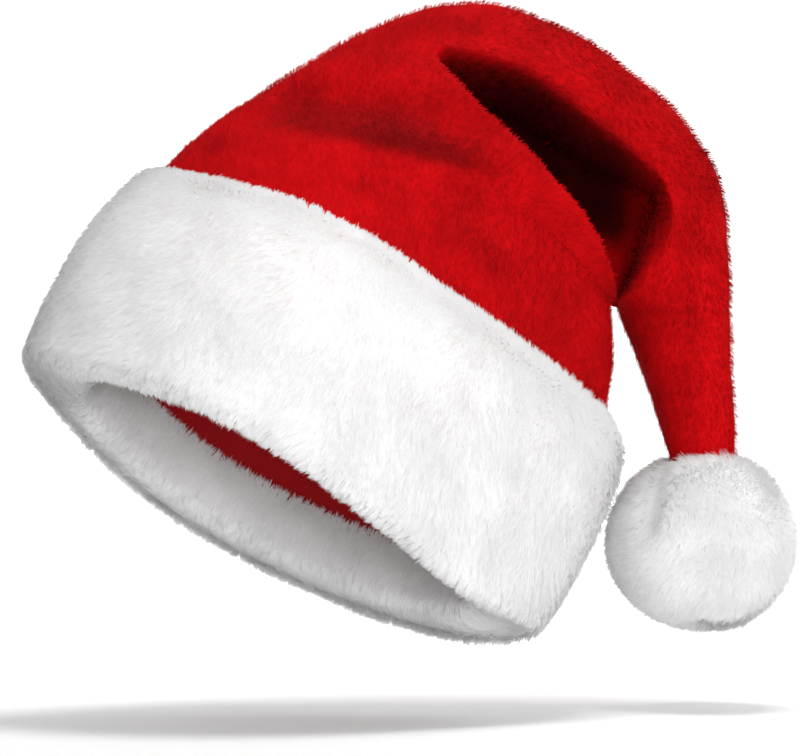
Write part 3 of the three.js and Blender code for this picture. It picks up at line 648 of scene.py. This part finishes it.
def make_cuff(fur):
    angle = np.linspace(0, 2 * math.pi, CUFF_SIDES, endpoint=False)
    sunk = FUR_PILE * math.sin(FUR_LIFT) * 0.35
    face = cuff_points(cuff_profile(sunk), angle)
    hem_top, edge_top = HEM_HEIGHT - 0.5, CUFF_HEIGHT - 3
    inside = [(CLEARANCE, up, 0) for up in np.linspace(hem_top, edge_top, 14)]
    rings = np.concatenate([face, cuff_points(inside, angle)])[::-1]
    backing = sleeve("cuff_backing", rings, fur, np.full(rings.shape[:2], 0.84))

    # The strands of the rounded upper edge are lit as those of the face below it.
    form = Skin(face, -1)
    facing = form.normals.copy()
    facing[:EDGE_ROWS] = facing[EDGE_ROWS]
    rng = np.random.default_rng(5)
    rows = np.arange(len(face))[:, None] + 0 * angle
    across = (1 - np.cos(angle)) / 2 + 0 * rows
    hem_row = OUTER_ROWS + TURN_ROWS
    last_row = hem_row + HEM_ROWS - 1
    pieces = [backing]
    areas = {
        "cuff_fur_front": ((rows < OUTER_ROWS) & (angle < math.pi), FUR_SIDE_COUNT),
        "cuff_fur_rear": ((rows < OUTER_ROWS) & (angle >= math.pi), FUR_SIDE_COUNT),
        "cuff_fur_rim": (rows >= OUTER_ROWS - 1, FUR_RIM_COUNT),
    }
    for name, (where, count) in areas.items():
        at = form.scatter(count, rng, where * (1 + 0.8 * (rows < EDGE_ROWS - 1)))
        root, normal, along, around = at(form.points), at(form.normals), at(form.along), at(form.around)
        row = at(rows.astype(float))
        up_edge = (1 - smooth(row + rng.normal(0, 1.0, count), 1, 5))[:, None]
        left = (1 - at(across))[:, None]
        hem_edge = smooth(row, last_row - 7, last_row - 2)[:, None]
        under = (smooth(row, 24, OUTER_ROWS - 2) * (1 - smooth(row, hem_row - 3, hem_row + 3)))[:, None]
        length = FUR_PILE * rng.uniform(0.65, 1.2, (count, 1)) * (1 + (0.15 - 0.5 * left) * up_edge)
        length = length * (1 - 0.3 * hem_edge) * (1 - 0.2 * left ** END_POWER) * (1 - 0.1 * under)
        # Combed down to the rim, up at the upper edge, and back to the left at the left end.
        sideways = 0.45 * waves(root, 34, 31) + rng.normal(0, 0.25, count)
        sideways -= 1.1 * smooth(left[:, 0], 0.72, 0.92) * at(np.sin(angle) + 0 * rows) * smooth(row, 6, 16)
        combed = along * (1 - 1.9 * up_edge) + around * sideways[:, None]
        lift = FUR_LIFT + 0.12 * waves(root, 22, 32)[:, None] + rng.normal(0, 0.15, (count, 1))
        way = unit(combed) * np.cos(lift) + normal * np.sin(lift)
        tip = gather(root, root + length * way, 5, 0.16 + 0.2 * under + 0.35 * up_edge, 41)
        middle = root + (tip - root) * 0.5 + normal * (0.1 * length)
        # Painted light: palest under the rim and inside. Painted shade: a little darker at the left end
        # and the upper edge.
        shade = 0.8 + 0.12 * smooth(row, OUTER_ROWS, OUTER_ROWS + 6)
        shade = shade + 0.04 * waves(root, 15, 33) + rng.normal(0, 0.03, count)
        shade -= 0.12 * smooth(left[:, 0], 0.88, 1) + 0.1 * (1 - smooth(row, 2, 12))
        shade = np.clip(shade, 0, 1)
        hair = strands(name, root, middle, tip, unit(at(facing)), FUR_STRAND, shade, fur, rng)
        # Light passes through the clear fibres, so the backing alone casts the fur's shadow.
        hair.visible_shadow = False
        pieces.append(hair)
    for piece in pieces:
        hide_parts("cuff")


def make_pompom(fur):
    tip_section = tail_section(1.0, np.array([0.5]))
    centre = tip_section["place"][0] + np.array([0, 0, POMPOM_SINK - POMPOM_HEIGHT / 2])
    half = np.array([POMPOM_WIDTH, POMPOM_WIDTH, POMPOM_HEIGHT]) / 2
    down = np.linspace(0.02, math.pi - 0.02, POMPOM_ROWS)[:, None]
    round_ = np.linspace(0, 2 * math.pi, POMPOM_SIDES, endpoint=False)[None, :]
    ball = np.stack([np.sin(down) * np.cos(round_), np.sin(down) * np.sin(round_),
                     np.cos(down) + 0 * round_], -1)
    # A parting in the fur at the upper left, from beside the tail down towards the front.
    parting = unit(np.array([[-0.41, -0.36, 0.84], [-0.55, -0.62, 0.55], [-0.62, -0.76, 0.19]]))
    near = np.min([np.linalg.norm(ball - (a + (b - a) * s), axis=-1)
                   for a, b in zip(parting, parting[1:]) for s in np.linspace(0, 1, 8)], axis=0)
    groove = np.exp(-(near / 0.12) ** 2)
    sunk = POMPOM_PILE * math.sin(POMPOM_LIFT) * 0.6
    depth = sunk + 3 * groove - 0.8 * waves(ball * half, 22, 61)
    rings = centre + ball * (half - depth[..., None])
    rings = rings[::-1]
    form = Skin(rings)
    # Painted shade: the fur is darker along the parting.
    shade = (0.78 - 0.14 * groove)[::-1]
    cap_top, cap_bottom = rings[-1].mean(0), rings[0].mean(0)
    rows, sides = rings.shape[:2]
    faces = sleeve_faces(rows, sides)[:(rows - 1) * sides].tolist()
    last = (rows - 1) * sides
    faces += [[last + k, last + (k + 1) % sides, rows * sides] for k in range(sides)]
    faces += [[(k + 1) % sides, k, rows * sides + 1] for k in range(sides)]
    backing = make_piece("pompom_backing", np.concatenate([rings.reshape(-1, 3), [cap_top, cap_bottom]]),
                         faces, fur, np.full(rows * sides + 2, 0.6))

    # No strands where the tail's end covers the ball. The fur hangs down and a little forward.
    rng = np.random.default_rng(17)
    count = POMPOM_COUNT
    beside_tail = np.linalg.norm((rings - centre)[..., :2] / [TAIL_WIDTH * 0.3, TAIL_DEPTH * 0.36], axis=-1)
    bare = np.where((rings[..., 2] > centre[2]) & (beside_tail < 1), 0.0, 1.0)
    at = form.scatter(count, rng, bare)
    root, normal = at(form.points), at(form.normals)
    length = POMPOM_PILE * rng.uniform(0.75, 1.1, (count, 1))
    drift = 0.7 * np.stack([waves(root, 26, seed) for seed in (54, 55, 56)], -1) - [0.3, 0.2, 0.9]
    drift = unit(drift - normal * np.sum(drift * normal, -1, keepdims=True))
    combed = unit(drift + rng.normal(0, 0.3, (count, 3)))
    lift = POMPOM_LIFT + rng.normal(0, 0.15, (count, 1))
    way = combed * np.cos(lift) + normal * np.sin(lift)
    tip = gather(root, root + length * way, 4.5, 0.25, 52)
    middle = root + (tip - root) * 0.5 + normal * (0.12 * length)
    pile = np.clip(at(shade) + 0.05 * waves(root, 14, 53) + rng.normal(0, 0.04, count), 0, 1)
    # Light spreads through the ball's fur, so its limb is nearly as bright as its middle.
    facing = unit(normal + 0.45 * unit(np.array([0.15, -1.0, 0.25])))
    hair = strands("pompom_fur", root, middle, tip, facing, POMPOM_STRAND, pile, fur, rng)
    hair.visible_shadow = False
    for piece in (backing, hair):
        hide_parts("pompom")


# The studio

def make_floor():
    """A white sweep: a floor that curves up behind the hat into a wall, without an edge."""
    half, front, back, radius, drop, top = 5.0, -3.0, 1.6, 1.2, -0.1017, 4.0
    curve = [(back + radius * math.sin(a), drop + radius * (1 - math.cos(a)))
             for a in np.linspace(0, math.pi / 2, 17)]
    profile = [(front, drop)] + curve + [(back + radius, top)]
    points = [(x, y, z) for y, z in profile for x in (-half, half)]
    mesh = bpy.data.meshes.new("studio_floor")
    mesh.from_pydata(points, [], [(2 * i, 2 * i + 1, 2 * i + 3, 2 * i + 2) for i in range(len(profile) - 1)])
    mesh.polygons.foreach_set("use_smooth", np.ones(len(mesh.polygons), bool))
    mesh.materials.append(matt_floor())
    floor = bpy.data.objects.new("studio_floor", mesh)
    bpy.context.scene.collection.objects.link(floor)


def add_lamp(name, place, aim, size, watts):
    lamp = bpy.data.lights.new(name, "AREA")
    lamp.shape, lamp.energy = "RECTANGLE", watts
    lamp.size, lamp.size_y = size
    holder = bpy.data.objects.new(name, lamp)
    holder.location = place
    way = np.array(aim) - np.array(place)
    flat = math.hypot(way[0], way[1])
    holder.rotation_euler = (math.pi / 2 + math.atan2(way[2], flat), 0, math.atan2(-way[0], way[1]))
    bpy.context.scene.collection.objects.link(holder)


def light_studio():
    """A white room, brighter in front and on the right. A small lamp overhead, a little to the
    right, throws the hat's shadow, two low and wide ones in front light it under the rim, and one
    behind it lights the wall."""
    world = bpy.data.worlds.new("white_room")
    world.use_nodes = True
    tree = world.node_tree
    tree.nodes.clear()
    way = add(tree, "ShaderNodeTexCoord").outputs["Generated"]
    right, back, up = add(tree, "ShaderNodeSeparateXYZ", {0: way}).outputs
    level = add(tree, "ShaderNodeMath", {0: right, 1: 0.26, 2: 0.4}, operation="MULTIPLY_ADD").outputs[0]
    for axis, low, high, more in ((up, 0.0, 1.0, 0.05), (back, 0.0, -1.0, 0.35)):
        part = add(tree, "ShaderNodeMapRange", {
            "Value": axis, "From Min": low, "From Max": high, "To Max": more})
        level = add(tree, "ShaderNodeMath", {0: level, 1: part.outputs[0]}, operation="ADD").outputs[0]
    background = add(tree, "ShaderNodeBackground", {"Color": colour("#FFFFFF"), "Strength": level})
    add(tree, "ShaderNodeOutputWorld", {"Surface": background.outputs[0]})
    bpy.context.scene.world = world
    add_lamp("overhead_lamp", (0.22, 0.03, 1.3), (0.05, 0.03, 0.0), (0.45, 0.45), 10.5)
    add_lamp("front_lamp", (1.2, -1.9, 0.2), (0.05, 0.0, 0.0), (1.4, 0.7), 22)
    add_lamp("low_lamp", (0.4, -2.4, 0.12), (0.05, 0.0, 0.0), (2.4, 0.35), 21)
    add_lamp("backdrop_lamp", (0.0, 0.9, 1.7), (0.0, 2.8, 0.5), (4.0, 0.6), 60)


def place_camera():
    """Level with the hat's middle, two metres off, as the photograph was taken."""
    camera = bpy.data.cameras.new("camera")
    camera.lens, camera.sensor_width = 189, 36
    holder = bpy.data.objects.new("camera", camera)
    holder.location = (0.06286, -2.0, 0.06214)
    holder.rotation_euler = (math.pi / 2, 0, 0)
    bpy.context.scene.collection.objects.link(holder)
    bpy.context.scene.camera = holder


place_camera()
light_studio()
make_floor()
plush, fur = brushed_plush(), long_pile_fur()
make_crown(plush)
make_lining(ribbed_lining())
make_cuff(fur)
make_pompom(fur)
bpy.context.scene.view_settings.view_transform = "Standard"
